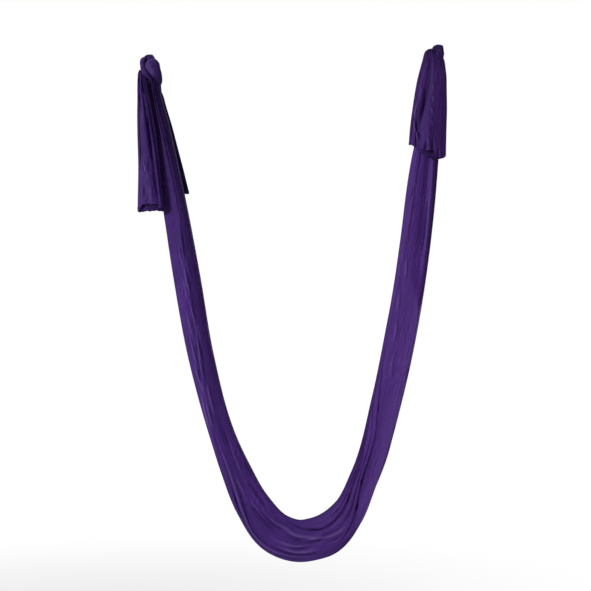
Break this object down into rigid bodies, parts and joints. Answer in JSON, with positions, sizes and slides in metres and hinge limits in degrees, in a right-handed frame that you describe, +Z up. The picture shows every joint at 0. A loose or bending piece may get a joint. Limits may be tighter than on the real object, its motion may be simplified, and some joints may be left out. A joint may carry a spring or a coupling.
{
  "type": "aerial yoga hammock",
  "caption": "Long stretch cloth gathered into a U-shaped sling, tied in a knot with a hanging eye and a loose tail at each end.",
  "frame": {"origin": "centre of the left eye, the bight of cloth that the left hanging hook passes through", "axes": "+X to the right eye, +Z up, -Y towards the viewer, on the side where both tails hang"},
  "size_m": [1.0696, 0.1011, 1.7424],
  "materials": {
    "cloth": "matte"
  },
  "bodies": {
    "hangers": {"left_eye": "cloth", "right_eye": "cloth"},
    "sling": {"sling_front": "cloth", "left_knot_core": "cloth", "left_knot_lobe": "cloth", "left_knot_band": "cloth", "left_tail_neck": "cloth", "right_knot_core": "cloth", "right_knot_lobe": "cloth", "right_knot_band": "cloth", "right_tail_neck": "cloth"},
    "middle_layers": {"sling_middle": "cloth"},
    "back_layers": {"sling_back": "cloth", "left_tail_back": "cloth"},
    "left_tail": {"left_tail": "cloth"},
    "right_tail": {"right_tail": "cloth"}
  },
  "joints": [
    {"name": "sling_swing", "type": "hinge", "parent": "hangers", "child": "sling", "pos_m": [0.5, 0, 0], "axis": [1, 0, 0], "range_deg": [-35, 35]},
    {"name": "open_middle", "type": "hinge", "parent": "sling", "child": "middle_layers", "pos_m": [0.5, 0, 0], "axis": [1, 0, 0], "range_deg": [0, 20]},
    {"name": "open_back", "type": "hinge", "parent": "sling", "child": "back_layers", "pos_m": [0.5, 0, 0], "axis": [1, 0, 0], "range_deg": [0, 40]},
    {"name": "left_tail_lift", "type": "hinge", "parent": "sling", "child": "left_tail", "pos_m": [0, -0.0358, -0.09], "axis": [-1, 0, 0], "range_deg": [0, 70]},
    {"name": "right_tail_lift", "type": "hinge", "parent": "sling", "child": "right_tail", "pos_m": [1, -0.0358, -0.09], "axis": [-1, 0, 0], "range_deg": [0, 70]}
  ],
  "couplings": [
    {"joint": "open_back", "follows": "open_middle", "ratio": 2}
  ]
}
